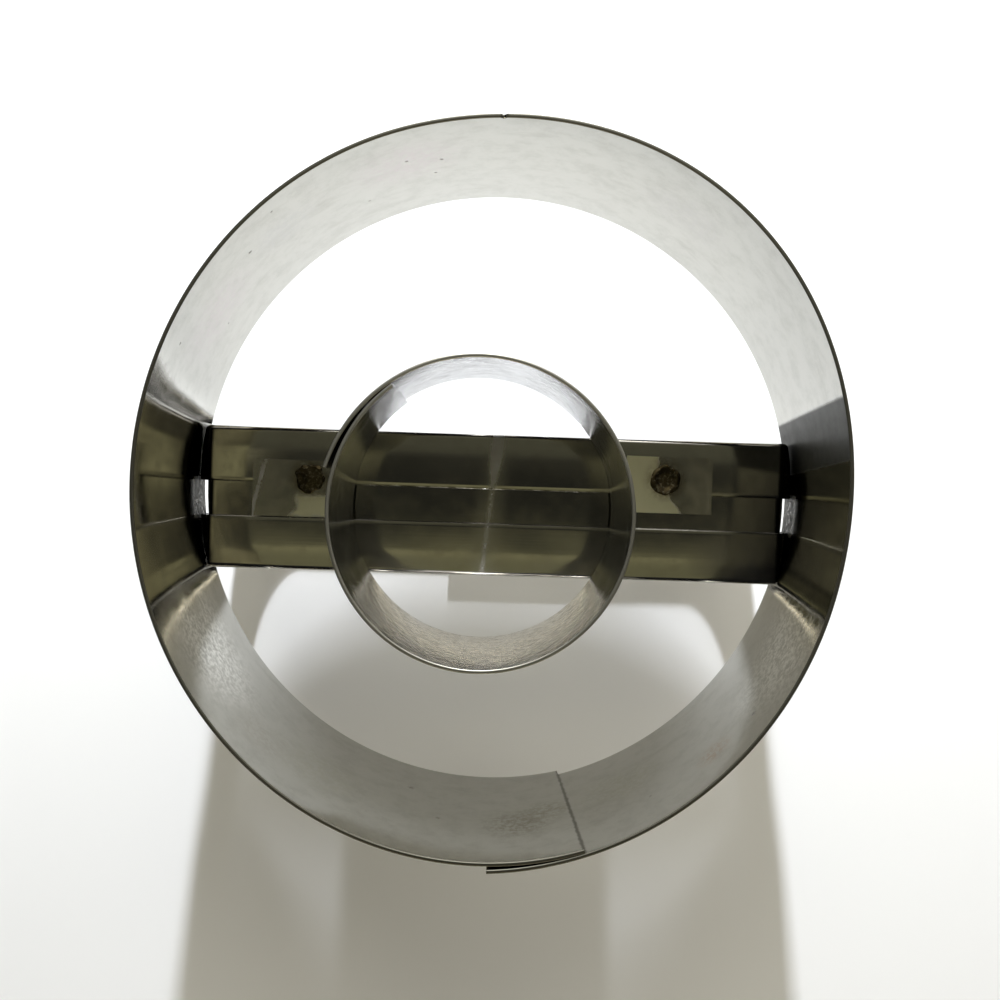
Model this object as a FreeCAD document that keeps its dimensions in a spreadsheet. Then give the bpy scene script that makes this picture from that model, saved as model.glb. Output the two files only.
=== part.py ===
import FreeCAD, Part
import Sketcher
import math
import os

# Doughnut cutter of thin sheet steel, lying on its handle with both cutting rims up.
# The axis of the outer ring is the Z axis, and z = 0 is the plane under the grip.
# The strap runs along X, so the handle's finger gap is open along Y.

driving_sizes = (
    ("ringRadius", "40.4", "outside of the outer ring at its handle side"),
    ("ringHeight", "30", "outer ring, from the handle side to the cutting rim"),
    ("ringSheet", "0.45", "thickness of the outer ring's strip"),
    ("ringNarrowing", "1.2", "how far each side of the cutting rim is pressed in along X"),
    ("ringWidening", "0.4", "how far each side of the cutting rim bulges along Y"),
    ("rimShiftX", "-0.6", "middle of the cutting rim, from the ring's axis"),
    ("rimShiftY", "-0.1", "middle of the cutting rim, from the ring's axis"),
    ("rimBulge", "1.3", "how far one stretch of the cutting rim is bent out"),
    ("bulgeAngle", "45", "middle of the bent stretch, from +X"),
    ("bulgeSpread", "60", "from the middle of the bent stretch to its end"),
    ("ringSeamAngle", "-74.9", "where the strip's inner end lies, from +X"),
    ("ringLapAngle", "12.2", "how far the strip's ends overlap"),
    ("ringEaseAngle", "50", "the stretch in which the outer end lifts over the inner one"),
    ("pressSpan", "60", "longest stretch of a ring's strip in one face"),
    ("pressStep", "6", "spacing of the points that the pressed rims run through"),
    ("nickAngle", "90", "where the small nick in the cutting rim is, from +X"),
    ("nickWidth", "0.8", "the nick, along the rim"),
    ("nickDepth", "0.35", "the nick, down from the rim"),
    ("holeRadius", "17.6", "outside of the inner ring where it stands on the strap"),
    ("holeRimRecess", "2.85", "how far the inner rim stays below the outer one"),
    ("holeSheet", "0.45", "thickness of the inner ring's strip"),
    ("holeNarrowing", "0.25", "how far each side of the inner rim is pressed in along X"),
    ("holeWidening", "0.22", "how far each side of the inner rim bulges along Y"),
    ("holeSeamAngle", "126.9", "where the inner ring's inner end lies, from +X"),
    ("holeLapAngle", "36.3", "how far the inner ring's ends overlap"),
    ("holeEaseAngle", "75", "the stretch in which its outer end lifts over the inner one"),
    ("holeShiftX", "-1.76", "axis of the inner ring, from the outer ring's"),
    ("holeShiftY", "-2.51", "axis of the inner ring, from the outer ring's"),
    ("lapGap", "0.08", "air between two lapped layers"),
    ("strapWidth", "19", "the strap over its folded edges"),
    ("strapShiftY", "-2.03", "middle of the strap, from the outer ring's axis"),
    ("strapSheet", "0.4", "thickness of the strap's strip"),
    ("hemGap", "0.6", "clear height inside a folded edge"),
    ("upperHem", "7.4", "width of the folded edge on the +Y side"),
    ("lowerHem", "7", "width of the folded edge on the -Y side"),
    ("foldRound", "0.6", "rounding of the strap's long edges"),
    ("barInset", "4.8", "outer face of the bar, above the outer ring's handle side"),
    ("barBend", "0.1", "inside radius of the strap's bends at the bar"),
    ("gripBend", "6.5", "inside radius of the strap's bends at the grip"),
    ("handleReach", "23", "from the outer ring's handle side to the underside of the grip"),
    ("gripLap", "14", "how far the strap's two ends overlap at the grip"),
    ("seatGap", "0.08", "air between the strap's legs and the wall, and between feet and ring"),
    ("footSheet", "0.45", "thickness of the small angles"),
    ("footLength", "12.8", "the flat part of an angle, from the inner ring's wall"),
    ("footWidth", "7.5", "the flat part of an angle, across"),
    ("footBend", "0.5", "inside radius of an angle's bend"),
    ("footRelief", "1.4", "where an angle's full width starts, from the wall, clear of the ring's lap"),
    ("uprightHeight", "8", "an angle's upright, from the strap"),
    ("uprightWidth", "5.4", "an angle's upright, across"),
    ("leftFootShift", "-0.64", "middle of the left angle's flat part, from the outer ring's axis"),
    ("rightFootShift", "1.4", "middle of the right angle's flat part, from the outer ring's axis"),
    ("leftWeldReach", "5.4", "the left angle's spot weld, from the inner ring's wall"),
    ("rightWeldReach", "6.5", "the right angle's spot weld, from the inner ring's wall"),
    ("weldShift", "1", "spot weld's centre, from the middle of the flat part"),
    ("weldWidth", "3", "width of a spot weld's dimple"),
    ("weldDepth", "0.14", "depth of a spot weld's dimple"),
)

doc = FreeCAD.newDocument("DoughnutCutter")
sheet = doc.addObject("Spreadsheet::Sheet", "Sizes")
for row, (alias, number, meaning) in enumerate(driving_sizes, start=1):
    sheet.set(f"A{row}", alias)
    sheet.set(f"B{row}", number)
    sheet.set(f"C{row}", meaning)
    sheet.setAlias(f"B{row}", alias)
doc.recompute()

# Levels and radii that follow from the driving sizes
strap_thickness = "(2 * Sizes.strapSheet + Sizes.hemGap)"
channel_depth = "(Sizes.strapSheet + Sizes.hemGap)"
ring_foot = "Sizes.handleReach"
bar_face = "(Sizes.handleReach + Sizes.barInset)"
hole_rim = "(Sizes.handleReach + Sizes.ringHeight - Sizes.holeRimRecess)"
wall_narrowing = "Sizes.ringNarrowing * Sizes.barInset / Sizes.ringHeight"
leg_radius = f"(Sizes.ringRadius - Sizes.ringSheet - {wall_narrowing} - Sizes.seatGap)"
ring_axis = ("0", "0")
hole_axis = ("Sizes.holeShiftX", "Sizes.holeShiftY")
upper_edge = "(Sizes.strapShiftY + Sizes.strapWidth / 2)"
lower_edge = "(Sizes.strapShiftY - Sizes.strapWidth / 2)"


def value(expression):
    return float(sheet.evalExpression(expression))


def size(alias):
    return value(f"Sizes.{alias}")


# Sketches of level and upright lines, with rounded corners where a radius is given.
# A corner is (x, y, radius or None), each an expression on the sheet.
def place_line(sketch, line, level, expression):
    number = value(expression)
    if abs(number) < 1e-9:
        axis = -1 if level else -2
        sketch.addConstraint(Sketcher.Constraint("PointOnObject", line, 1, axis))
        return
    kind = "DistanceY" if level else "DistanceX"
    index = sketch.addConstraint(Sketcher.Constraint(kind, -1, 1, line, 1, number))
    sketch.setExpression(f"Constraints[{index}]", expression)


def round_corner(sketch, line_in, line_out, corner, radius):
    start, place, end = corner
    number = value(radius)
    inward = place - start
    outward = end - place
    left_turn = inward.cross(outward).z > 0
    centre = start + end - place
    first, last = (start, end) if left_turn else (end, start)
    angles = [math.atan2(point.y - centre.y, point.x - centre.x) for point in (first, last)]
    circle = Part.Circle(centre, FreeCAD.Vector(0, 0, 1), number)
    arc = sketch.addGeometry(Part.ArcOfCircle(circle, angles[0], angles[1]))
    arc_start, arc_end = (1, 2) if left_turn else (2, 1)
    sketch.addConstraint(Sketcher.Constraint("Tangent", line_in, 2, arc, arc_start))
    sketch.addConstraint(Sketcher.Constraint("Tangent", arc, arc_end, line_out, 1))
    index = sketch.addConstraint(Sketcher.Constraint("Radius", arc, number))
    sketch.setExpression(f"Constraints[{index}]", radius)


def outline_sketch(name, corners, turn, axis):
    sketch = doc.addObject("Sketcher::SketchObject", name)
    sketch.Placement.Rotation = FreeCAD.Rotation(turn, 0, 90)
    sketch.setExpression("Placement.Base.x", axis[0])
    sketch.setExpression("Placement.Base.y", axis[1])
    places = [FreeCAD.Vector(value(x), value(y), 0) for x, y, radius in corners]
    starts = []
    ends = []
    for index, place in enumerate(places):
        radius = corners[index][2]
        trim = value(radius) if radius else 0
        starts.append(place + (places[index - 1] - place).normalize() * trim)
        ends.append(place + (places[(index + 1) % len(places)] - place).normalize() * trim)
    lines = []
    for index, end in enumerate(ends):
        segment = Part.LineSegment(end, starts[(index + 1) % len(places)])
        lines.append(sketch.addGeometry(segment))
    for index, (x, y, radius) in enumerate(corners):
        level = y == corners[(index + 1) % len(corners)][1]
        sketch.addConstraint(Sketcher.Constraint("Horizontal" if level else "Vertical", lines[index]))
        if radius:
            corner = (starts[index], places[index], ends[index])
            round_corner(sketch, lines[index - 1], lines[index], corner, radius)
        else:
            sketch.addConstraint(Sketcher.Constraint("Coincident", lines[index - 1], 2, lines[index], 1))
        place_line(sketch, lines[index], level, y if level else x)
    return sketch


def turned(name, corners, turn, axis):
    # The outline swept half a turn about an upright axis, a quarter to each side
    half = doc.addObject("Part::Revolution", name)
    half.Source = outline_sketch(f"{name}Outline", corners, turn, axis)
    half.Axis = (0, 0, 1)
    half.setExpression("Base.x", axis[0])
    half.setExpression("Base.y", axis[1])
    half.Angle = 180
    half.Symmetric = True
    half.Solid = True
    return half


def block(name, x, y, z):
    box = doc.addObject("Part::Box", name)
    for side, corner, (low, high) in (("Length", "x", x), ("Width", "y", y), ("Height", "z", z)):
        box.setExpression(side, f"({high}) - ({low})")
        box.setExpression(f"Placement.Base.{corner}", low)
    return box


def joined(name, pieces):
    fusion = doc.addObject("Part::MultiFuse", name)
    fusion.Shapes = pieces
    fusion.Refine = True
    return fusion


def shared(name, base, tool):
    common = doc.addObject("Part::Common", name)
    common.Base = base
    common.Tool = tool
    return common


def cut(name, base, tool):
    difference = doc.addObject("Part::Cut", name)
    difference.Base = base
    difference.Tool = tool
    return difference


# Rings: a strip rolled up with lapped ends, whose handle side is round and whose
# cutting rim is pressed out of round. Seen from above, each side of the strip is a
# round and a flap that leaves it tangentially, both cut into short arcs.
# An arc is (centre, radius, begin, end).
def arc_row(centre, radius, begin, end):
    count = math.ceil(abs(end - begin) / size("pressSpan"))
    bounds = [begin + (end - begin) * step / count for step in range(count + 1)]
    return [(centre, radius, first, last) for first, last in zip(bounds, bounds[1:])]


def strip_arcs(radius, thickness, seam, lap, ease, turn):
    lift = (thickness + size("lapGap")) / (1 - math.cos(math.radians(ease)))
    tangent = math.radians(seam - turn * ease)
    flap_centre = FreeCAD.Vector(-lift * math.cos(tangent), -lift * math.sin(tangent), 0)
    round_end = seam + turn * (360 - ease)
    flap_end = seam + turn * (360 + lap)
    origin = FreeCAD.Vector()
    outside = arc_row(origin, radius, seam, round_end)
    outside += arc_row(flap_centre, radius + lift, round_end, flap_end)
    inside = arc_row(flap_centre, radius + lift - thickness, flap_end, round_end)
    inside += arc_row(origin, radius - thickness, round_end, seam)
    return outside, inside


def arc_point(arc, share):
    centre, radius, begin, end = arc
    angle = math.radians(begin + (end - begin) * share)
    return centre + FreeCAD.Vector(math.cos(angle), math.sin(angle), 0) * radius


def round_curve(arc):
    return Part.Arc(*[arc_point(arc, share) for share in (0, 0.5, 1)]).toShape()


def pressed_curve(arc, press):
    probe = 0.01

    def heading(share):
        ahead = press(arc_point(arc, share + probe))
        behind = press(arc_point(arc, share - probe))
        return (ahead - behind).normalize()

    count = math.ceil(abs(arc[3] - arc[2]) / size("pressStep"))
    points = [press(arc_point(arc, step / count)) for step in range(count + 1)]
    curve = Part.BSplineCurve()
    curve.interpolate(Points=points, InitialTangent=heading(0), FinalTangent=heading(1))
    return curve.toShape()


def strip_wire(outside, inside, height):
    outer_tip = Part.makeLine(outside[-1].Vertexes[-1].Point, inside[0].Vertexes[0].Point)
    inner_tip = Part.makeLine(inside[-1].Vertexes[-1].Point, outside[0].Vertexes[0].Point)
    wire = Part.Wire([*outside, outer_tip, *inside, inner_tip])
    wire.translate(FreeCAD.Vector(0, 0, height))
    return wire


def rim_press(radius, narrowing, widening, shift, bulge):
    def press(point):
        angle = math.degrees(math.atan2(point.y, point.x))
        off_middle = abs((angle - size("bulgeAngle") + 180) % 360 - 180)
        share = min(1, off_middle / size("bulgeSpread"))
        outward = FreeCAD.Vector(point.x, point.y, 0).normalize()
        oval = FreeCAD.Vector(-narrowing * point.x / radius, widening * point.y / radius, 0)
        return point + oval + shift + outward * bulge * math.cos(math.radians(90 * share)) ** 2

    return press


def rolled_ring(sides, press, foot, rim):
    far_sides = [[round_curve(arc) for arc in arcs] for arcs in sides]
    near_sides = [[pressed_curve(arc, press) for arc in arcs] for arcs in sides]
    return Part.makeLoft([strip_wire(*far_sides, foot), strip_wire(*near_sides, rim)], True, True)


def rim_nick(rim):
    width = size("nickWidth")
    depth = size("nickDepth")
    reach = size("ringRadius") + size("ringWidening")
    wall = 3 * size("ringSheet")
    corners = (
        FreeCAD.Vector(reach - wall, -width / 2, rim + depth),
        FreeCAD.Vector(reach - wall, 0, rim - depth),
        FreeCAD.Vector(reach - wall, width / 2, rim + depth),
    )
    notch = Part.Face(Part.makePolygon(corners + corners[:1])).extrude(FreeCAD.Vector(2 * wall, 0, 0))
    notch.rotate(FreeCAD.Vector(), FreeCAD.Vector(0, 0, 1), size("nickAngle"))
    return notch


def make_outer_ring():
    radius = size("ringRadius")
    sides = strip_arcs(
        radius, size("ringSheet"), size("ringSeamAngle"), size("ringLapAngle"), size("ringEaseAngle"), -1
    )
    shift = FreeCAD.Vector(size("rimShiftX"), size("rimShiftY"), 0)
    press = rim_press(radius, size("ringNarrowing"), size("ringWidening"), shift, size("rimBulge"))
    foot = value(ring_foot)
    rim = foot + size("ringHeight")
    ring = doc.addObject("Part::Feature", "OuterRing")
    ring.Shape = rolled_ring(sides, press, foot, rim).cut(rim_nick(rim))
    ring.Label = "outer_ring"
    return ring


def make_inner_ring():
    radius = size("holeRadius")
    sides = strip_arcs(
        radius, size("holeSheet"), size("holeSeamAngle"), size("holeLapAngle"), size("holeEaseAngle"), 1
    )
    press = rim_press(radius, size("holeNarrowing"), size("holeWidening"), FreeCAD.Vector(), 0)
    ring = doc.addObject("Part::Feature", "InnerRing")
    ring.Shape = rolled_ring(sides, press, value(bar_face), value(hole_rim))
    ring.Placement.Base = FreeCAD.Vector(size("holeShiftX"), size("holeShiftY"), 0)
    ring.Label = "inner_ring"
    return ring


# The strap is one closed loop of bar, legs and grip. Its legs follow the round wall
# of the outer ring, so the loop is turned about the ring's axis and trimmed to width.
# A layer of the loop lies between two depths from the loop's outside.
def loop_half(name, grip_face, upper_depth, lower_depth, turn):
    def corners(depth):
        side = f"{leg_radius} - ({depth})"
        bar = f"{bar_face} - ({depth})"
        grip = f"{grip_face} + ({depth})"
        bend = f"Sizes.barBend + {strap_thickness} - ({depth})"
        palm = f"Sizes.gripBend + {strap_thickness} - ({depth})"
        return [("0", bar, None), (side, bar, bend), (side, grip, palm), ("0", grip, None)]

    return turned(name, corners(upper_depth) + corners(lower_depth)[::-1], turn, ring_axis)


def loop_layer(name, upper_depth, lower_depth, overshoot):
    # The right-hand end is lapped inside the left-hand end, on the upper side of the grip.
    inner_grip = f"({strap_thickness} + Sizes.lapGap)"
    right = loop_half(f"{name}Right", inner_grip, upper_depth, lower_depth, 0)
    left = loop_half(f"{name}Left", "0", upper_depth, lower_depth, 180)
    across = ("-Sizes.ringRadius", "Sizes.ringRadius")
    tip = f"Sizes.gripLap / 2 + {overshoot}"
    root = "Sizes.gripBend"
    right_level = (f"{inner_grip} + ({upper_depth})", f"{inner_grip} + ({lower_depth})")
    left_level = (upper_depth, lower_depth)
    right_end = block(f"{name}RightEnd", (f"-({tip})", root), across, right_level)
    left_end = block(f"{name}LeftEnd", (f"-{root}", tip), across, left_level)
    return joined(name, [right, left, right_end, left_end])


def rounded_edges(name, trimmed):
    thickness = value(strap_thickness)
    planes = (value(upper_edge), value(lower_edge))
    chosen = []
    for number, edge in enumerate(trimmed.Shape.Edges, start=1):
        span = edge.BoundBox
        flat = any(abs(span.YMin - plane) + abs(span.YMax - plane) < 1e-4 for plane in planes)
        if flat and edge.Length > 1.01 * thickness:
            chosen.append((number, size("foldRound"), size("foldRound")))
    fillet = doc.addObject("Part::Fillet", name)
    fillet.Base = trimmed
    fillet.Edges = chosen
    return fillet


def make_strap():
    whole_height = ("-1", f"{bar_face} + 1")
    whole_length = ("-Sizes.ringRadius", "Sizes.ringRadius")
    loop = loop_layer("Loop", "0", strap_thickness, "0")
    width = block("StrapWidth", whole_length, (lower_edge, upper_edge), whole_height)
    trimmed = shared("TrimmedLoop", loop, width)
    doc.recompute()
    rounded = rounded_edges("RoundedLoop", trimmed)

    hollow = loop_layer("Hollow", "Sizes.strapSheet", channel_depth, "1")
    inside = (f"{lower_edge} + Sizes.strapSheet", f"{upper_edge} - Sizes.strapSheet")
    hem_hollow = shared("HemHollow", hollow, block("HollowWidth", whole_length, inside, whole_height))

    opening = loop_layer("Opening", "-Sizes.lapGap / 2", channel_depth, "1")
    between = (f"{lower_edge} + Sizes.lowerHem", f"{upper_edge} - Sizes.upperHem")
    slot = shared("Slot", opening, block("SlotWidth", whole_length, between, whole_height))

    folded = cut("FoldedLoop", rounded, hem_hollow)
    strap = cut("Strap", folded, slot)
    strap.Label = "strap"
    return strap


# Small angles: the flat part lies on the strap, and the upright follows the inner
# ring's round wall, so the angle is turned about that ring's axis and trimmed.
def make_foot(name, label, side, shift, weld_reach):
    wall = "(Sizes.holeRadius + Sizes.seatGap)"
    back = f"({wall} + Sizes.footSheet)"
    tip = f"({wall} + Sizes.footLength)"
    top = f"({bar_face} + Sizes.footSheet)"
    crown = f"({bar_face} + Sizes.uprightHeight)"
    beyond = f"({tip} + Sizes.footWidth)"
    corners = [
        (wall, bar_face, "Sizes.footBend + Sizes.footSheet"),
        (beyond, bar_face, None),
        (beyond, top, None),
        (back, top, "Sizes.footBend"),
        (back, crown, None),
        (wall, crown, None),
    ]
    angle = turned(f"{name}Angle", corners, 0 if side > 0 else 180, hole_axis)

    def along(start, end):
        places = (f"{hole_axis[0]} + {side} * ({start})", f"{hole_axis[0]} + {side} * ({end})")
        return places if side > 0 else places[::-1]

    edge = f"{shift} - Sizes.footWidth / 2"
    width = (edge, f"{shift} + Sizes.footWidth / 2")
    neck = (edge, f"{edge} + Sizes.uprightWidth")
    flat = block(f"{name}Flat", along(f"{wall} + Sizes.footRelief", tip), width, ("0", crown))
    upright = block(f"{name}Upright", along("0", f"{wall} + Sizes.footLength / 2"), neck, ("0", crown))
    bent = shared(f"{name}Bent", angle, joined(f"{name}Plan", [flat, upright]))

    ball = doc.addObject("Part::Sphere", f"{name}Ball")
    radius = "((Sizes.weldWidth ^ 2 / 4 + Sizes.weldDepth ^ 2) / (2 * Sizes.weldDepth))"
    middle = (f"{hole_axis[0]} + {side} * ({wall} + {weld_reach})", f"{shift} + Sizes.weldShift")
    ball.setExpression("Radius", radius)
    ball.setExpression("Placement.Base.x", middle[0])
    ball.setExpression("Placement.Base.y", middle[1])
    ball.setExpression("Placement.Base.z", f"{top} + {radius} - Sizes.weldDepth")
    sides = [(f"{place} - Sizes.weldWidth", f"{place} + Sizes.weldWidth") for place in middle]
    cap = block(f"{name}Cap", *sides, (bar_face, f"{top} + Sizes.weldDepth"))
    foot = cut(name, bent, shared(f"{name}Weld", ball, cap))
    foot.Label = label
    return foot


def check_document():
    for thing in doc.Objects:
        if "Invalid" in thing.State or "Error" in thing.State:
            raise RuntimeError(f"{thing.Label} did not compute: {thing.State}")


def check_piece(piece):
    shape = piece.Shape
    if shape.isNull() or not shape.isValid() or len(shape.Solids) != 1:
        raise RuntimeError(f"{piece.Label} is not one valid solid")
    print(f"{piece.Label}: {shape.Volume:.2f} mm3, {len(shape.Faces)} faces")


def write_piece(piece):
    piece.Shape.exportStep(os.path.join("parts", f"{piece.Label}.step"))


pieces = [
    make_outer_ring(),
    make_inner_ring(),
    make_strap(),
    make_foot("LeftFoot", "left_foot", -1, "Sizes.leftFootShift", "Sizes.leftWeldReach"),
    make_foot("RightFoot", "right_foot", 1, "Sizes.rightFootShift", "Sizes.rightWeldReach"),
]
doc.recompute()
check_document()
os.makedirs("parts", exist_ok=True)
for piece in pieces:
    check_piece(piece)
for piece in pieces:
    write_piece(piece)
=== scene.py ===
import math

import bpy
from mathutils import Matrix, Vector, noise


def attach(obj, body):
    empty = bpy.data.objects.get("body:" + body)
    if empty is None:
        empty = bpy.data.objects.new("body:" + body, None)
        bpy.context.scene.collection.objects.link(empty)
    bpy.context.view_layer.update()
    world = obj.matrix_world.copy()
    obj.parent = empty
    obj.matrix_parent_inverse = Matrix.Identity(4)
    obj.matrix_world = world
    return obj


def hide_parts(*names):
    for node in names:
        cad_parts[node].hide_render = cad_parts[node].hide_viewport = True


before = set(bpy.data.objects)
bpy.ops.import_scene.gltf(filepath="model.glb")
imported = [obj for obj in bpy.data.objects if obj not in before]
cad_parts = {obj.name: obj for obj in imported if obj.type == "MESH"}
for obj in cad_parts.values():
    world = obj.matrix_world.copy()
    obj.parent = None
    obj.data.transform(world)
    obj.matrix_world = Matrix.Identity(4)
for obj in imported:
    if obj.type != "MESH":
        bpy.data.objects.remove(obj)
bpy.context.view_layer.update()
mm = 0.001
print("frame loaded:", ", ".join(sorted(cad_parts)))


# One socket of a shader tree, so that an expression on masks adds its own Math nodes
class Signal:
    def __init__(self, tree, socket):
        self.tree = tree
        self.socket = socket

    def __add__(self, other):
        return self.tree.math("ADD", self, other)

    def __radd__(self, other):
        return self.tree.math("ADD", other, self)

    def __sub__(self, other):
        return self.tree.math("SUBTRACT", self, other)

    def __rsub__(self, other):
        return self.tree.math("SUBTRACT", other, self)

    def __mul__(self, other):
        return self.tree.math("MULTIPLY", self, other)

    def __rmul__(self, other):
        return self.tree.math("MULTIPLY", other, self)

    def __truediv__(self, other):
        return self.tree.math("DIVIDE", self, other)

    def __rtruediv__(self, other):
        return self.tree.math("DIVIDE", other, self)

    def within(self, low, high):
        return self.tree.add(
            "ShaderNodeMapRange",
            {"interpolation_type": "SMOOTHSTEP"},
            {"Value": self, "From Min": low, "From Max": high},
        )

    def inside(self, low, high, soft):
        return self.within(low - soft, low + soft) * (1 - self.within(high - soft, high + soft))


# A shader tree that is filled node by node
class Shading:
    def __init__(self, owner):
        owner.use_nodes = True
        self.nodes = owner.node_tree.nodes
        self.links = owner.node_tree.links
        self.nodes.clear()

    def add(self, kind, settings=None, values=(), output=0):
        node = self.nodes.new(kind)
        for key, setting in (settings or {}).items():
            if key == "stops":
                self.setStops(node.color_ramp, setting)
            else:
                setattr(node, key, setting)
        pairs = values.items() if isinstance(values, dict) else enumerate(values)
        for key, entry in pairs:
            self.feed(node.inputs[key], entry)
        return Signal(self, node.outputs[output]) if node.outputs else node

    def setStops(self, ramp, stops):
        while len(ramp.elements) < len(stops):
            ramp.elements.new(1)
        for element, (place, colour) in zip(ramp.elements, stops):
            element.position = place
            element.color = (*colour, 1)

    def feed(self, socket, entry):
        if isinstance(entry, Signal):
            self.links.new(entry.socket, socket)
        elif isinstance(entry, tuple) and len(entry) == 3 and socket.type == "RGBA":
            socket.default_value = (*entry, 1)
        else:
            socket.default_value = entry

    def math(self, operation, *entries):
        return self.add("ShaderNodeMath", {"operation": operation}, entries)

    def vector(self, operation, *entries, output=0):
        return self.add("ShaderNodeVectorMath", {"operation": operation}, entries, output)

    def noise(self, place, scale, detail=4, roughness=0.55):
        return self.add(
            "ShaderNodeTexNoise",
            {},
            {"Vector": place, "Scale": scale, "Detail": detail, "Roughness": roughness},
        )

    def stretched(self, place, x, y, z):
        return self.vector("MULTIPLY", place, (x, y, z))

    def axes(self, place):
        return [self.add("ShaderNodeSeparateXYZ", {}, (place,), output=part) for part in range(3)]

    def around(self, place, centre, inner, outer):
        return 1 - self.vector("DISTANCE", place, centre, output=1).within(inner, outer)

    def blend(self, mask, first, second):
        return self.add(
            "ShaderNodeMix", {"data_type": "RGBA"}, {"Factor": mask, 6: first, 7: second}, output=2
        )


def smooth(share):
    share = min(1, max(0, share))
    return share * share * (3 - 2 * share)


# A skin over a row of closed loops of points given in millimetres, capped at both ends
def skin(name, loops, replaced, material):
    size = len(loops[0])
    points = [tuple(part * mm for part in point) for loop in loops for point in loop]
    faces = []
    for row in range(len(loops) - 1):
        for column in range(size):
            beside = (column + 1) % size
            start = row * size
            faces.append((start + column, start + beside, start + size + beside, start + size + column))
    last = len(points) - size
    faces.append(tuple(range(size))[::-1])
    faces.append(tuple(range(last, last + size)))
    mesh = bpy.data.meshes.new(name)
    mesh.from_pydata(points, [], faces)
    mesh.validate()
    mesh.shade_smooth()
    mesh.set_sharp_from_angle(angle=math.radians(35))
    mesh.materials.append(material)
    piece = bpy.data.objects.new(name, mesh)
    bpy.context.scene.collection.objects.link(piece)
    if replaced:
        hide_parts(replaced)
    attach(piece, "root")
    return piece


sheetSteel = {
    "base": (0.66, 0.652, 0.64),
    "dull": (0.6, 0.585, 0.57),
    "stain": (0.5, 0.47, 0.45),
    "roughness": 0.1,
    "mottleRoughness": 0.08,
    "grain": (0.05, 0.05, 6),
    "grainDepth": 0.002,
    "waveScale": 0.12,
    "waveDepth": 0.03,
    "dullAmount": (0.4, 0.7),
    "roughAmount": (0.35, 0.75),
    "stainAmount": (0.55, 0.72),
    "stainStrength": 0.4,
}


# Sheet steel with mottling, stain patches and grain. A dress adds the marks of one piece to its coat,
# among them painted shade, painted light and painted reflection.
def steel(name, look, dress=None):
    material = bpy.data.materials.new(name)
    shading = Shading(material)
    place = shading.stretched(shading.add("ShaderNodeTexCoord", output=3), 1000, 1000, 1000)
    mottle = shading.noise(place, 0.35, 6, 0.7)
    stain = shading.noise(shading.stretched(place, 0.1, 0.1, 0.3), 1, 5, 0.65)
    grain = shading.noise(shading.stretched(place, *look["grain"]), 1, 3, 0.6)
    wave = shading.noise(place, look["waveScale"], 1, 0.4)
    stained = stain.within(*look["stainAmount"]) * look["stainStrength"]
    colour = shading.blend(mottle.within(*look["dullAmount"]), look["base"], look["dull"])
    colour = shading.blend(stained, colour, look["stain"])
    rough = look["roughness"] + mottle.within(*look["roughAmount"]) * look["mottleRoughness"]
    height = grain * look["grainDepth"] + wave * look["waveDepth"]
    coat = {"colour": colour, "rough": rough, "height": height, "metal": 1}
    if dress:
        dress(shading, place, coat)
    bump = shading.add("ShaderNodeBump", {}, {"Height": coat["height"], "Distance": mm, "Strength": 1})
    surface = shading.add(
        "ShaderNodeBsdfPrincipled",
        {},
        {
            "Base Color": coat["colour"],
            "Roughness": coat["rough"],
            "Metallic": coat["metal"],
            "Normal": bump,
        },
    )
    shading.add("ShaderNodeOutputMaterial", {}, {"Surface": surface})
    return material


# A ring is a strip rolled up with lapped ends, round at its handle side and oval at its rim
outerRing = {
    "radius": 40.4,
    "sheet": 0.45,
    "narrowing": 1.2,
    "widening": 0.4,
    "rimShift": (-0.6, -0.1),
    "bulge": 1.3,
    "bulgeAngle": 45,
    "bulgeSpread": 60,
    "seam": -74.9,
    "lap": 12.2,
    "ease": 50,
    "lapGap": 0.08,
    "turn": -1,
    "foot": 23,
    "rim": 53,
    "centre": (0, 0),
    "nickAngle": 90,
    "nickWidth": 0.8,
    "nickDepth": 0.35,
    "steps": 1500,
    "wave": 0.05,
    "waveLength": 14,
    "edgeRound": 0.14,
    "edgeRow": 0.08,
    "levels": 10,
    "inset": 0.006,
    "slant": 3,
    "slantFrom": 0.33,
    "slantSpan": 10,
}
innerRing = {
    "radius": 17.6,
    "sheet": 0.45,
    "narrowing": 0.25,
    "widening": 0.22,
    "rimShift": (0, 0),
    "bulge": 0,
    "bulgeAngle": 0,
    "bulgeSpread": 60,
    "seam": 126.9,
    "lap": 36.3,
    "ease": 75,
    "lapGap": 0.08,
    "turn": 1,
    "foot": 27.8,
    "rim": 50.15,
    "centre": (-1.76, -2.51),
    "nickAngle": 0,
    "nickWidth": 1,
    "nickDepth": 0,
    "steps": 900,
    "wave": 0.02,
    "waveLength": 7,
    "edgeRound": 0.14,
    "edgeRow": 0.08,
    "levels": 10,
    "inset": 0,
    "slant": 0,
    "slantFrom": 0,
    "slantSpan": 10,
}


def stripProfile(look):
    # Depth into the sheet and height, once round the strip's section
    corner = look["edgeRound"]
    low = look["foot"]
    high = look["rim"]
    sheet = look["sheet"]
    profile = []

    def turnCorner(depth, height, start):
        for step in range(5):
            angle = math.radians(start + 90 * step / 4)
            profile.append((depth - corner * math.cos(angle), height + corner * math.sin(angle)))

    def climb(depth, start, end):
        beside = math.copysign(look["edgeRow"], end - start)
        profile.append((depth, start + beside))
        for step in range(1, look["levels"]):
            profile.append((depth, start + (end - start) * step / look["levels"]))
        profile.append((depth, end - beside))

    climb(0, low + corner, high - corner)
    turnCorner(corner, high - corner, 0)
    turnCorner(sheet - corner, high - corner, 90)
    climb(sheet, high - corner, low + corner)
    turnCorner(sheet - corner, low + corner, 180)
    turnCorner(corner, low + corner, 270)
    return profile


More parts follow.
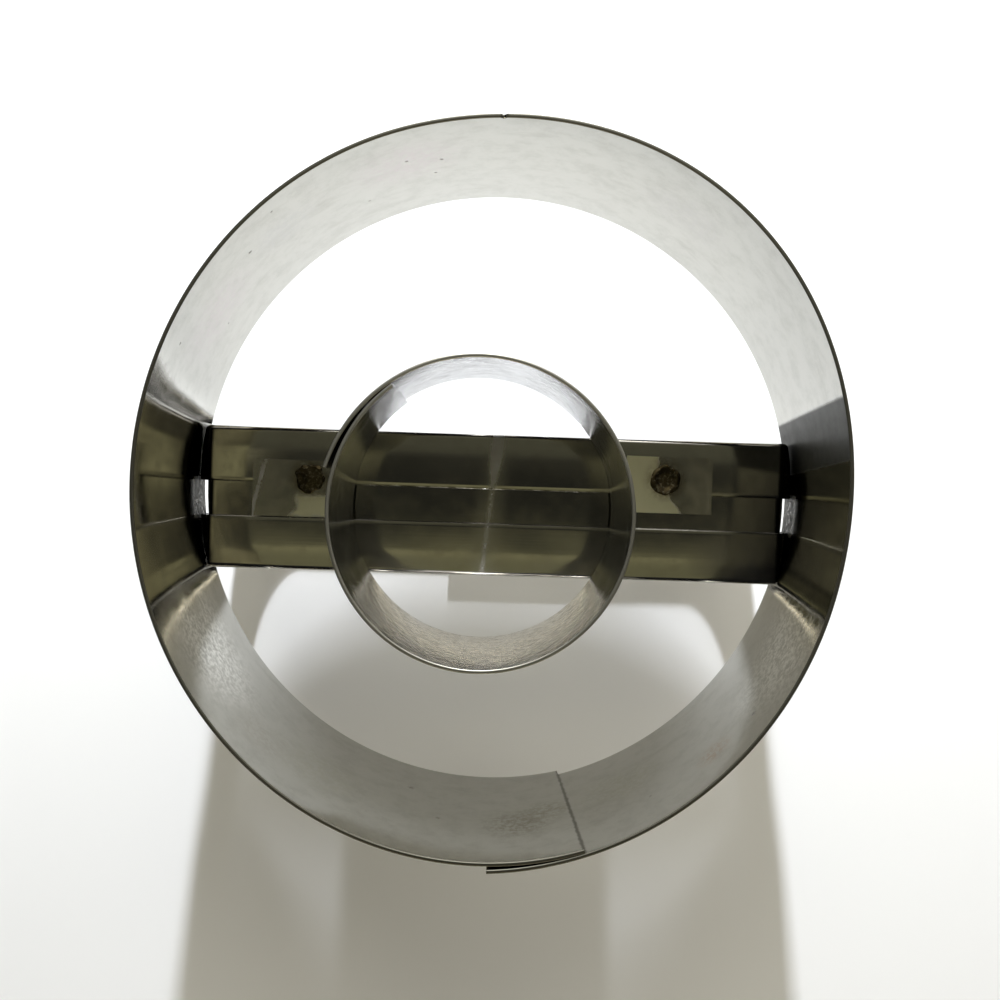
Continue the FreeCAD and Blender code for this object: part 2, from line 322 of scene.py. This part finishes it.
def rollRing(name, look, material):
    seam = look["seam"]
    turn = look["turn"]
    radius = look["radius"]
    lift = (look["sheet"] + look["lapGap"]) / (1 - math.cos(math.radians(look["ease"])))
    tangent = math.radians(seam - turn * look["ease"])
    profile = stripProfile(look)
    span = 360 + look["lap"]
    loops = []
    for step in range(look["steps"] + 1):
        along = span * step / look["steps"]
        angle = math.radians(seam + turn * along)
        flap = along > 360 - look["ease"]
        centre = Vector((-lift * math.cos(tangent), -lift * math.sin(tangent))) if flap else Vector((0, 0))
        reach = radius + (lift if flap else 0)
        fromNick = (math.degrees(angle) - look["nickAngle"] + 180) % 360 - 180
        nickShare = max(0, 1 - abs(math.radians(fromNick)) * radius * 2 / look["nickWidth"])
        loop = []
        begun = max(0, 1 - along / look["slantSpan"])
        for depth, height in profile:
            share = (height - look["foot"]) / (look["rim"] - look["foot"])
            tilt = angle + math.radians(look["slant"] * (share - look["slantFrom"]) * begun)
            arm = Vector((math.cos(tilt), math.sin(tilt)))
            spot = Vector((arm.x * radius, arm.y * radius, height)) / look["waveLength"]
            inward = look["wave"] * (0.5 + 0.5 * noise.noise(spot)) * (1 - abs(2 * share - 1) ** 6)
            place = centre + arm * (reach - depth)
            offMiddle = (math.degrees(math.atan2(place.y, place.x)) - look["bulgeAngle"] + 180) % 360 - 180
            bent = math.cos(math.radians(90 * min(1, abs(offMiddle) / look["bulgeSpread"]))) ** 2
            push = place.normalized() * (look["bulge"] * bent * share - inward - look["inset"])
            x = place.x * (1 - look["narrowing"] * share / radius) + look["rimShift"][0] * share
            y = place.y * (1 + look["widening"] * share / radius) + look["rimShift"][1] * share
            x += push.x + look["centre"][0]
            y += push.y + look["centre"][1]
            dip = nickShare * look["nickDepth"] * smooth((share - 0.9) / 0.1)
            loop.append((x, y, height - dip))
        loops.append(loop)
    return skin(f"{name}Skin", loops, name, material)


# The outer wall's marks. A pit is (x, y, z, size), a stain or painted reflection (x, y, z, size, colour),
# in mm.
wallMarks = {
    "pits": (
        (-29.48, 26.85, 44.5, 0.42),
        (-36.36, 15.66, 47.5, 0.3),
        (-26.04, 30.33, 49.5, 0.25),
        (-11.85, 38.39, 43, 0.35),
        (-7.85, 39.39, 41, 0.35),
        (-8.8, 39.13, 36.5, 0.3),
        (-17.23, 36.15, 33.5, 0.28),
        (-34.43, 20.01, 34.25, 0.25),
        (-5.82, -39.85, 40.75, 0.4),
        (-9.76, -38.91, 32.25, 0.6),
        (30.48, -24.59, 46.5, 0.5),
        (19.11, -34.92, 44.75, 0.4),
        (35.85, -14.83, 46, 0.4),
    ),
    "pitColour": (0.2, 0.19, 0.16),
    "pitStrength": 0.85,
    "pitRough": 0.3,
    "stainsAndPaintedReflections": (
        # The two pale patches beside the strap's ends are painted reflection of a lit floor; the rest are
        # stains.
        (35.4, -15.8, 43, 14, (0.85, 0.84, 0.79)),
        (-35, -18.9, 39, 13, (0.85, 0.84, 0.79)),
        (26.3, -29.4, 45.6, 3.4, (0.34, 0.25, 0.17)),
        (3.9, -40, 41.5, 6, (0.2, 0.185, 0.13)),
        (7.5, -39.4, 38, 4.5, (0.25, 0.235, 0.17)),
        (-20, -34.5, 40, 9, (0.36, 0.35, 0.28)),
        (-27.1, -29.5, 43.5, 6, (0.34, 0.32, 0.27)),
        (17, -36.3, 36, 8, (0.33, 0.32, 0.25)),
        (-37, -14, 38, 4, (0.28, 0.27, 0.22)),
        (-34.5, 20.5, 40, 9, (0.4, 0.355, 0.35)),
        (-26, 30.2, 42, 6, (0.36, 0.35, 0.33)),
        (-12, 38.4, 42.5, 9, (0.4, 0.35, 0.345)),
        (22, 33.6, 40, 8, (0.38, 0.365, 0.34)),
    ),
    "stainStrength": 0.8,
    "rimBand": (0.2, 0.12),
    "rimRough": 0.5,
    "rimColour": (0.085, 0.08, 0.062),
    "seamLine": (-75.9, 1.5),
    "seamWidth": (0.1, 0.5),
    "seamColour": (0.07, 0.065, 0.045),
    "seamRagged": 0.7,
    "seamStrength": 0.9,
    # Painted shade by the strap's ends, and a painted dark reflection band above its right end
    "paintedEndShadeSpan": (-11, 7, 1.5),
    "paintedEndShadeRise": (25, 37),
    "paintedEndShadeColour": (0.06, 0.057, 0.044),
    "paintedShadeStrength": 0.95,
    "paintedReflectionFrom": (10, 20),
    "paintedReflectionBand": (3, 10, 0.3),
    "paintedReflectionLean": 0.06,
    "paintedReflectionColour": (0.05, 0.05, 0.042),
    "paintedReflectionRough": 0.3,
    # Painted shade on the wall where it shows through the strap's slot
    "paintedSlotShadeFrom": (38, 38.5),
    "paintedSlotShadeSpan": (-5, 0.5, 0.2),
    "paintedSlotShadeRise": (28, 30),
    "paintedSlotShadeLeast": 0.35,
    "paintedSlotShadeCloud": 0.6,
    "paintedSlotShadeRough": 0.5,
}


def nearRim(height, look):
    start, end = look["rimBand"]
    return height.within(look["rim"] - start, look["rim"] - end)


def markWalls(look):
    def dress(shading, place, coat):
        # The marks lie on the ring's inner face, where the normal points to the middle
        normal = shading.add("ShaderNodeTexCoord", output=1)
        inner = 1 - shading.vector("DOT_PRODUCT", normal, place, output=1).within(-20, -5)
        pits = 0
        for x, y, z, size in look["pits"]:
            pits = shading.math("MAXIMUM", pits, shading.around(place, (x, y, z), size * 0.3, size))
        pits = pits * inner
        cloud = shading.noise(place, 1.6, 5, 0.7).within(0.38, 0.62)
        spread = cloud * inner * look["stainStrength"]
        colour = coat["colour"]
        # Stains, and two pale patches of painted reflection
        for x, y, z, size, tint in look["stainsAndPaintedReflections"]:
            stain = shading.around(place, (x, y, z), size * 0.2, size)
            colour = shading.blend(stain * spread, colour, tint)
        x, y, z = shading.axes(place)
        # Painted shade: the wall's lower part behind the strap's ends is darkened to near black, standing
        # in for the dark reflection and shade where the strap meets the wall.
        ends = y.inside(*look["paintedEndShadeSpan"]) * (1 - z.within(*look["paintedEndShadeRise"])) * inner
        colour = shading.blend(ends * look["paintedShadeStrength"], colour, look["paintedEndShadeColour"])
        # Painted reflection: a leaning dark band on the wall above the strap's right end stands in for a
        # dark reflection; it is also made rougher.
        leaning = y - (z - look["foot"]) * look["paintedReflectionLean"]
        paintedReflectionBand = inner * x.within(*look["paintedReflectionFrom"]) * leaning.inside(*look["paintedReflectionBand"])
        colour = shading.blend(paintedReflectionBand * look["paintedShadeStrength"], colour, look["paintedReflectionColour"])
        colour = shading.blend(pits * look["pitStrength"], colour, look["pitColour"])
        rim = nearRim(z, look)
        colour = shading.blend(rim, colour, look["rimColour"])
        turn = shading.math("ARCTAN2", y, x) * math.degrees(1)
        share = (z - look["foot"]) / (look["rim"] - look["foot"])
        seamFoot, seamLean = look["seamLine"]
        edge = share * seamLean + seamFoot
        ragged = (shading.noise(place, 0.9, 4, 0.7) - 0.5) * look["seamRagged"]
        seam = 1 - shading.math("ABSOLUTE", turn - edge + ragged).within(*look["seamWidth"])
        coat["colour"] = shading.blend(seam * inner * look["seamStrength"], colour, look["seamColour"])
        # Painted shade: where the wall shows through the strap's slot it is made partly non-metal and
        # rougher, darkening it in place of the shade there.
        paintedSlotShade = shading.math("ABSOLUTE", x).within(*look["paintedSlotShadeFrom"]) * y.inside(*look["paintedSlotShadeSpan"])
        paintedSlotShade = paintedSlotShade * inner * (1 - z.within(*look["paintedSlotShadeRise"]))
        paintedSlotShade = paintedSlotShade * (cloud * look["paintedSlotShadeCloud"] + look["paintedSlotShadeLeast"])
        coat["metal"] = 1 - paintedSlotShade
        paintedMarkRough = paintedSlotShade * look["paintedSlotShadeRough"] + paintedReflectionBand * look["paintedReflectionRough"]
        rough = coat["rough"] + pits * look["pitRough"] + paintedMarkRough
        coat["rough"] = shading.math("MAXIMUM", rough, rim * look["rimRough"])

    return dress


def ripple(look):
    def dress(shading, place, coat):
        dents = shading.noise(place, look["rippleScale"], 3, 0.6)
        coat["height"] = coat["height"] + dents * look["rippleDepth"]
        worn = shading.noise(place, 1.1, 6, 0.75).within(0.42, 0.68)
        x, y, height = shading.axes(place)
        # Painted light: the inner ring's lower side is made much paler, standing in for the reflection of
        # a lit floor.
        paintedLightLowerSide = 1 - y.within(*look["paintedLightFrom"])
        coat["colour"] = shading.blend(paintedLightLowerSide, coat["colour"], look["paintedLightLowerSide"])
        coat["colour"] = shading.blend(worn * look["wornStrength"], coat["colour"], look["worn"])
        rim = nearRim(height, look)
        start, end = look["footBand"]
        # Painted shade: a thin dark band along the inner ring's foot, where it sits on the strap.
        foot = 1 - height.within(look["foot"] + start, look["foot"] + end)
        coat["colour"] = shading.blend(rim, coat["colour"], look["rimColour"])
        coat["colour"] = shading.blend(foot, coat["colour"], look["paintedFootShade"])
        rough = coat["rough"] + worn * look["wornRough"]
        coat["rough"] = shading.math("MAXIMUM", rough, rim * look["rimRough"])

    return dress


outerSheet = {
    **sheetSteel,
    "base": (0.41, 0.403, 0.36),
    "dull": (0.35, 0.34, 0.3),
    "stain": (0.28, 0.265, 0.225),
    "roughness": 0.05,
}
outerSteel = steel("outerSteel", outerSheet, markWalls({**outerRing, **wallMarks}))
innerWear = {
    "rippleScale": 0.9,
    "rippleDepth": 0.025,
    "worn": (0.46, 0.445, 0.425),
    "wornStrength": 0.6,
    "wornRough": 0.08,
    # Painted light on the inner ring's lower side
    "paintedLightFrom": (-14, -5),
    "paintedLightLowerSide": (0.93, 0.915, 0.895),
    "rim": innerRing["rim"],
    "foot": innerRing["foot"],
    "footBand": (0.12, 0.3),
    "rimBand": wallMarks["rimBand"],
    "rimRough": 0.45,
    "rimColour": (0.26, 0.25, 0.21),
    "paintedFootShade": (0.12, 0.115, 0.09),
}
innerSheet = {
    **sheetSteel,
    "base": (0.33, 0.325, 0.31),
    "dull": (0.28, 0.275, 0.26),
    "stain": (0.22, 0.21, 0.19),
    "waveDepth": 0.02,
}
innerSteel = steel("innerSteel", innerSheet, ripple(innerWear))
rollRing("outer_ring", outerRing, outerSteel)
rollRing("inner_ring", innerRing, innerSteel)
print("rings rolled")

strapSizes = {
    "legRadius": 39.74,
    "barFace": 27.8,
    "thickness": 1.4,
    "sheet": 0.4,
    "bendStart": {1: 38.2, -1: 37.85},
    "sharpest": 0.02,
    "gripBend": 6.5,
    "innerGrip": 1.48,
    "gripTip": 7,
    "upperEdge": 7.47,
    "lowerEdge": -11.53,
    "upperSlot": 0.07,
    "lowerSlot": -4.53,
    "tipRound": 0.06,
    "barSteps": 60,
    "bendSteps": 14,
    "legSteps": 16,
    "palmSteps": 24,
    "gripSteps": 16,
    "lean": 0.1,
    "leanFrom": 3,
    "wave": 0.03,
}


def hemProfile(look):
    # Across the strap: (y, depth) once round the folded section
    upper = look["upperEdge"]
    lower = look["lowerEdge"]
    sheet = look["sheet"]
    whole = look["thickness"]
    fold = whole / 2
    inner = fold - sheet
    profile = []

    def fan(y, depth, radius, start, end, count):
        for step in range(count + 1):
            angle = math.radians(start + (end - start) * step / count)
            profile.append((y + radius * math.cos(angle), depth + radius * math.sin(angle)))

    def cross(start, end, depth, count):
        for step in range(1, count):
            profile.append((start + (end - start) * step / count, depth))

    tip = look["tipRound"]
    fan(look["lowerSlot"] - tip, sheet - tip, tip, 90, 0, 3)
    fan(look["lowerSlot"] - tip, tip, tip, 0, -90, 3)
    cross(look["lowerSlot"] - tip, lower + fold, 0, 12)
    fan(lower + fold, fold, fold, -90, -270, 12)
    cross(lower + fold, upper - fold, whole, 8)
    fan(upper - fold, fold, fold, 90, -90, 12)
    cross(upper - fold, look["upperSlot"] + tip, 0, 12)
    fan(look["upperSlot"] + tip, tip, tip, -90, -180, 3)
    fan(look["upperSlot"] + tip, sheet - tip, tip, -180, -270, 3)
    cross(look["upperSlot"] + tip, upper - fold, sheet, 6)
    fan(upper - fold, fold, inner, -90, 90, 8)
    cross(upper - fold, lower + fold, whole - sheet, 16)
    fan(lower + fold, fold, inner, 90, 270, 8)
    cross(lower + fold, look["lowerSlot"] - tip, sheet, 6)
    return profile


def strapPath(look, side):
    # From the middle of the bar to the strap's end at the grip. A station turns the leg's
    # reach and a depth into reach and height. The bar bends along a straight line, so its
    # bend is widest in the middle, where the round wall is farthest off.
    gripFace = look["innerGrip"] if side > 0 else 0
    palm = look["gripBend"] + look["thickness"]
    barFace = look["barFace"]
    bottom = gripFace + palm

    def bend(leg, depth):
        return max(look["sharpest"], leg - look["bendStart"][side] - depth)

    def bar(share, leg, depth):
        return (leg - depth - bend(leg, depth)) * share, barFace - depth

    def barCorner(share, leg, depth):
        radius = bend(leg, depth)
        angle = math.radians(90 * share)
        reach = leg - depth - radius + radius * math.sin(angle)
        return reach, barFace - depth - radius + radius * math.cos(angle)

    def upright(share, leg, depth):
        top = barFace - depth - bend(leg, depth)
        return leg - depth, top + (bottom - top) * share

    def palmCorner(share, leg, depth):
        angle = math.radians(90 * share)
        radius = palm - depth
        return leg - palm + radius * math.cos(angle), bottom - radius * math.sin(angle)

    def grip(share, leg, depth):
        reach = leg - palm
        return reach - (reach + look["gripTip"]) * share, gripFace + depth

    rows = (
        (bar, look["barSteps"]),
        (barCorner, look["bendSteps"]),
        (upright, look["legSteps"]),
        (palmCorner, look["palmSteps"]),
        (grip, look["gripSteps"]),
    )
    stations = [(form, step / count) for form, count in rows for step in range(count)]
    return stations + [(grip, 1)]


def foldStrap(look, material):
    right = [(1, *station) for station in strapPath(look, 1)]
    left = [(-1, *station) for station in strapPath(look, -1)]
    profile = hemProfile(look)
    loops = []
    for side, form, share in right[::-1] + left[1:]:
        loop = []
        for y, depth in profile:
            leg = math.sqrt(look["legRadius"] ** 2 - y * y)
            if depth < look["thickness"] / 2:
                fromEdge = min(look["upperEdge"] - y, y - look["lowerEdge"])
                sag = look["lean"] * smooth(1 - fromEdge / look["leanFrom"])
                flat = form(share, leg, depth)[0]
                sag += look["wave"] * (0.5 + 0.5 * noise.noise(Vector((flat * side / 9, y / 5, 0))))
                depth += sag * smooth(fromEdge / 0.7)
            reach, height = form(share, leg, depth)
            loop.append((side * reach, y, height))
        loops.append(loop)
    return skin("strapSkin", loops, "strap", material)


strapSteel = {
    **sheetSteel,
    "roughness": 0.08,
    "mottleRoughness": 0.05,
    "grain": (0.04, 5, 1),
    "grainDepth": 0.0006,
    "waveScale": 0.08,
    "waveDepth": 0.012,
}
strapWear = {
    "streakAt": (0.2, 7.4),
    "streakLean": 0.0952,
    "streakWidth": 0.6,
    "brushedWidth": 0.8,
    "streakRough": 0.11,
    "brushedFrom": -1,
    "brushedTo": 5,
    "brushedRough": 0.13,
    "lip": (0.07, 0.24, 0.03),
    "lipColour": (0.2, 0.19, 0.14),
    "glowWidth": 3,
    "glowRough": 0.07,
    "bendFrom": 37.5,
    "bendTo": 38,
    "hiddenRise": (23.3, 24.3),
    "paintedBendShade": (0.03, 0.028, 0.02),
    "paintedSlotShadeSpan": (-4.6, 0.15, 0.05),
    "paintedSlotShadeFrom": (38.2, 38.5),
    "paintedSlotShadeRise": (26.9, 27.3),
    "paintedSlotShadeRough": 0.45,
}


def wearStrap(shading, place, coat):
    x, y, z = shading.axes(place)
    atX, atY = strapWear["streakAt"]
    offset = shading.math("ABSOLUTE", x - atX - (y - atY) * strapWear["streakLean"])
    brushed = y.within(strapWear["brushedFrom"], strapWear["brushedTo"])
    streak = 1 - (offset / (brushed * strapWear["brushedWidth"] + strapWear["streakWidth"])).within(0.1, 1)
    glow = (1 - offset.within(0.2, strapWear["glowWidth"])) * strapWear["glowRough"]
    rubbed = brushed * strapWear["brushedRough"] + strapWear["streakRough"]
    coat["rough"] = coat["rough"] + streak * rubbed + glow
    cloud = shading.noise(place, 0.8, 4, 0.6).within(0.35, 0.6)
    lip = y.inside(*strapWear["lip"]) * cloud
    coat["colour"] = shading.blend(lip, coat["colour"], strapWear["lipColour"])
    side = shading.math("ABSOLUTE", x)
    hidden = z.within(*strapWear["hiddenRise"])
    # Painted shade: the strap's leg inside its slot is made partly non-metal and rougher, darkening it in
    # place of the shade seen through the slot.
    paintedSlotShade = side.within(*strapWear["paintedSlotShadeFrom"]) * y.inside(*strapWear["paintedSlotShadeSpan"]) * hidden
    paintedSlotShade = paintedSlotShade * (1 - z.within(*strapWear["paintedSlotShadeRise"]))
    coat["metal"] = 1 - paintedSlotShade * 0.85
    coat["rough"] = coat["rough"] + paintedSlotShade * strapWear["paintedSlotShadeRough"]
    # Painted shade: the strap's bends at the bar's ends are darkened to near black, standing in for the
    # dark reflection and shade there.
    bend = side.within(strapWear["bendFrom"], strapWear["bendTo"]) * hidden
    coat["colour"] = shading.blend(bend * 0.97, coat["colour"], strapWear["paintedBendShade"])


foldStrap(strapSizes, steel("strapSteel", strapSteel, wearStrap))
print("strap folded")

feetLook = {
    "left_foot": {
        "paleRise": (-4.4, -1.5, 0.5),
        "paleReach": (-26.3, -18, 0.5),
        "paleBend": (-3.4, -1.2),
        "nugget": (-24.68, 0.78),
        "scuff": (-31.35, 0.2265, 0.36),
        "uneven": 0.3,
    },
    "right_foot": {
        "paleRise": (-4, 6, 0.25),
        "paleReach": (12, 21.4, 0.3),
        "paleBend": (2.5, 0.66),
        "nugget": (22.48, 2.08),
        "scuff": (28.2, 0, 0.02),
        "uneven": 0.14,
    },
    "paleColour": (0.62, 0.6, 0.4),
    "paleRough": 0.42,
    "plateRough": 0.05,
    "scuffWidth": (0.08, 0.4),
    "ragged": 0.9,
    "tint": (0.3, 0.25, 0.16),
    "tintReach": (1.6, 3.4),
    "tintStrength": 0.8,
    "edgeRound": 0.16,
}
# A weld's bead from its foot to its middle: radius and height above the sheet
nuggets = {
    "left_foot": ((1.95, -0.12), (1.9, 0.08), (1.55, 0.3), (1.1, 0.26), (0.7, 0.36), (0.1, 0.38)),
    "right_foot": (
        (2.05, -0.12),
        (1.95, 0.1),
        (1.7, 0.24),
        (1.35, 0.2),
        (1.05, 0.04),
        (0.8, 0.0),
        (0.1, 0.02),
    ),
}
weldLook = {
    "sheetTop": 28.25,
    "steps": 48,
    "lumps": 0.07,
    "colour": (0.08, 0.064, 0.034),
    "ash": (0.3, 0.275, 0.2),
    "rough": 0.22,
}


def tintFoot(look):
    def dress(shading, place, coat):
        x, y, z = shading.axes(place)
        bendAt, bendLean = look["paleBend"]
        ragged = (shading.noise(place, 0.8, 3, 0.5) - 0.5) * feetLook["ragged"]
        shift = shading.math("MAXIMUM", bendAt - y, 0) * bendLean + ragged
        reach = (x - shift).inside(*look["paleReach"])
        pale = reach * (y + ragged).inside(*look["paleRise"])
        cloud = shading.noise(place, 0.9, 4, 0.6).within(0.3, 0.6)
        spotX, spotY = look["nugget"]
        burnt = shading.around(place, (spotX, spotY, weldLook["sheetTop"]), *feetLook["tintReach"])
        coat["colour"] = shading.blend(pale, coat["colour"], feetLook["paleColour"])
        tinted = burnt * cloud * feetLook["tintStrength"]
        coat["colour"] = shading.blend(tinted, coat["colour"], feetLook["tint"])
        scuffAt, scuffLean, scuffRough = look["scuff"]
        offset = shading.math("ABSOLUTE", x - scuffAt - y * scuffLean + ragged * 0.3)
        scuff = (1 - offset.within(*feetLook["scuffWidth"])) * cloud * scuffRough
        coat["rough"] = coat["rough"] + feetLook["plateRough"] + pale * feetLook["paleRough"] + scuff

    return dress


def burnSteel(shading, place, coat):
    ash = shading.noise(place, 2.2, 5, 0.7).within(0.5, 0.7)
    coat["colour"] = shading.blend(ash, weldLook["colour"], weldLook["ash"])
    coat["rough"] = coat["rough"] + weldLook["rough"]


def makeNugget(name, rows, look, material):
    middleX, middleY = look["nugget"]
    loops = []
    for radius, height in rows:
        loop = []
        for step in range(weldLook["steps"]):
            angle = 2 * math.pi * step / weldLook["steps"]
            along = math.cos(angle) * radius
            across = math.sin(angle) * radius
            spot = Vector((middleX + along, middleY + across, height * 3))
            swell = 1 + look["uneven"] * noise.noise(spot * 0.9)
            lift = height + weldLook["lumps"] * noise.noise(spot * 2.3)
            loop.append((middleX + along * swell, middleY + across * swell, weldLook["sheetTop"] + lift))
        loops.append(loop)
    return skin(f"{name}Nugget", loops, None, material)


burnt = steel("burntSteel", sheetSteel, burnSteel)
for name in ("left_foot", "right_foot"):
    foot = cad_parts[name]
    foot.data.materials.clear()
    foot.data.materials.append(steel(f"{name}Steel", sheetSteel, tintFoot(feetLook[name])))
    bevel = foot.modifiers.new("edges", "BEVEL")
    bevel.width = feetLook["edgeRound"] * mm
    bevel.segments = 3
    bevel.limit_method = "ANGLE"
    bevel.angle_limit = math.radians(50)
    makeNugget(name, nuggets[name], feetLook[name], burnt)
print("feet and welds are made")

stageLook = {
    "floorSize": 8,
    "floorColour": (0.9, 0.9, 0.9),
    "lampReach": 373 * mm,
    "lampAside": -6 * mm,
    "lampTarget": (0, 0, 10 * mm),
    "overheadFrom": 0.36,
    "overheadTo": 0.42,
    "soft": 1.5,
    "dimLight": (0.01, 0.01, 0.01),
}
overheadStops = (
    (0.0, (0.2, 0.187, 0.113)),
    (0.3, (0.133, 0.126, 0.066)),
    (0.414, (0.215, 0.2, 0.103)),
    (0.428, (0.05, 0.048, 0.028)),
    (0.447, (0.042, 0.04, 0.025)),
    (0.455, (0.014, 0.014, 0.0105)),
    (0.5, (0.014, 0.014, 0.0105)),
    (0.51, (0.026, 0.025, 0.017)),
    (0.535, (0.04, 0.038, 0.027)),
    (0.55, (0.058, 0.056, 0.036)),
    (0.7, (0.086, 0.083, 0.053)),
    (1.0, (0.2, 0.187, 0.133)),
)
# The window's lamps: elevation in degrees, width, height, power and colour
windowLamps = {
    "window": (22.8, 12 * mm, 24 * mm, 1.75, (0.895, 0.935, 1)),
    "windowAround": (27.2, 12 * mm, 155 * mm, 1.55, (0.895, 0.935, 1)),
}
# The room's bright parts: azimuth, half the width, lowest and highest elevation, then the light
skyPanels = (
    (90, 22.5, 30, 51, (3.75, 3.62, 3.15)),
    (45, 22.5, 15, 30, (3.65, 3.5, 3.05)),
    (45, 22.5, 30, 51, (0.76, 0.74, 0.7)),
    (135, 22.5, 30, 51, (0.78, 0.76, 0.7)),
    (60, 22.5, 51, 65, (0.9, 0.87, 0.8)),
    (270, 40, -1, 17, (6.4, 5.9, 4.5)),
    (270, 6, 25, 35, (3.5, 3.3, 2.7)),
)
# The ceiling, by how far off the zenith it lies along and across, then its softness and light
ceilingParts = (
    (0.31, 0.5, -0.4, 0.4, 0.006, (0.34, 0.31, 0.17)),
    (0.262, 0.312, -0.047, -0.015, 0.006, (0.46, 0.43, 0.23)),
    (-0.5, -0.315, -0.4, 0.4, 0.006, (0.12, 0.112, 0.07)),
    (-0.3, -0.225, 0.004, 0.034, 0.006, (0.22, 0.205, 0.12)),
    (0.21, 0.286, -0.2, -0.055, 0.012, (0.07, 0.065, 0.04)),
)


def makeFloor():
    half = stageLook["floorSize"] / 2
    corners = [(-half, -half, 0), (half, -half, 0), (half, half, 0), (-half, half, 0)]
    mesh = bpy.data.meshes.new("floor")
    mesh.from_pydata(corners, [], [(0, 1, 2, 3)])
    floor = bpy.data.objects.new("floor", mesh)
    bpy.context.scene.collection.objects.link(floor)
    material = bpy.data.materials.new("paleFloor")
    shading = Shading(material)
    surface = shading.add(
        "ShaderNodeBsdfPrincipled", {}, {"Base Color": stageLook["floorColour"], "Roughness": 0.9}
    )
    shading.add("ShaderNodeOutputMaterial", {}, {"Surface": surface})
    mesh.materials.append(material)


def makeLamp(name, elevation, width, height, power, colour):
    lamp = bpy.data.lights.new(name, "AREA")
    lamp.shape = "RECTANGLE"
    lamp.size = width
    lamp.size_y = height
    lamp.energy = power
    lamp.color = colour
    window = bpy.data.objects.new(name, lamp)
    bpy.context.scene.collection.objects.link(window)
    angle = math.radians(elevation)
    reach = stageLook["lampReach"]
    window.location = (stageLook["lampAside"], math.cos(angle) * reach, math.sin(angle) * reach)
    back = window.location - Vector(stageLook["lampTarget"])
    window.rotation_euler = back.to_track_quat("Z", "Y").to_euler()


def makeSky():
    world = bpy.data.worlds.new("room")
    bpy.context.scene.world = world
    shading = Shading(world)
    along, across, up = shading.axes(shading.add("ShaderNodeTexCoord", output=0))
    level = shading.math("SQRT", along * along + across * across)
    rise = shading.math("ARCTAN2", up, level) * math.degrees(1)
    turn = shading.math("ARCTAN2", across, along) * math.degrees(1)
    height = shading.math("MAXIMUM", up, 0.001)
    light = stageLook["dimLight"]
    soft = stageLook["soft"]
    for azimuth, half, low, high, panel in skyPanels:
        offset = shading.math("ABSOLUTE", shading.math("WRAP", turn - azimuth, 180, -180))
        mask = (1 - offset.within(half - soft, half + soft)) * rise.inside(low, high, soft)
        light = shading.blend(mask, light, panel)
    overhead = 1 - (level / height).within(stageLook["overheadFrom"], stageLook["overheadTo"])
    ramp = shading.add("ShaderNodeValToRGB", {"stops": overheadStops}, {"Fac": across / height + 0.5})
    for left, right, near, far, edge, part in ceilingParts:
        mask = (along / height).inside(left, right, edge) * (across / height).inside(near, far, edge)
        ramp = shading.blend(mask, ramp, part)
    light = shading.blend(overhead, light, ramp)
    seen = shading.add("ShaderNodeLightPath", output=0)
    colour = shading.blend(seen, light, (1, 1, 1))
    surface = shading.add("ShaderNodeBackground", {}, {"Color": colour, "Strength": 1})
    shading.add("ShaderNodeOutputWorld", {}, {"Surface": surface})


cameraPlace = {
    "position": (-0.86 * mm, 1.97 * mm, 163 * mm),
    "roll": 1.9,
    "leanRight": 10 / 1015,
    "leanUp": 25 / 1015,
    "focalShare": 1.015,
    "sensor": 36,
}


def makeCamera():
    roll = math.radians(cameraPlace["roll"])
    right = Vector((math.cos(roll), math.sin(roll), 0))
    up = Vector((-math.sin(roll), math.cos(roll), 0))
    lean = right * cameraPlace["leanRight"] - up * cameraPlace["leanUp"]
    forward = (Vector((0, 0, -1)) + lean).normalized()
    up = (up - forward * up.dot(forward)).normalized()
    right = forward.cross(up)
    data = bpy.data.cameras.new("camera")
    data.sensor_width = cameraPlace["sensor"]
    data.lens = cameraPlace["sensor"] * cameraPlace["focalShare"]
    data.clip_start = 1 * mm
    camera = bpy.data.objects.new("camera", data)
    bpy.context.scene.collection.objects.link(camera)
    turn = Matrix((right, up, -forward)).transposed().to_4x4()
    camera.matrix_world = Matrix.Translation(cameraPlace["position"]) @ turn
    bpy.context.scene.camera = camera


makeFloor()
for name, lampLook in windowLamps.items():
    makeLamp(name, *lampLook)
makeSky()
makeCamera()
bpy.context.scene.view_settings.view_transform = "Standard"
print("floor, light and camera are set")
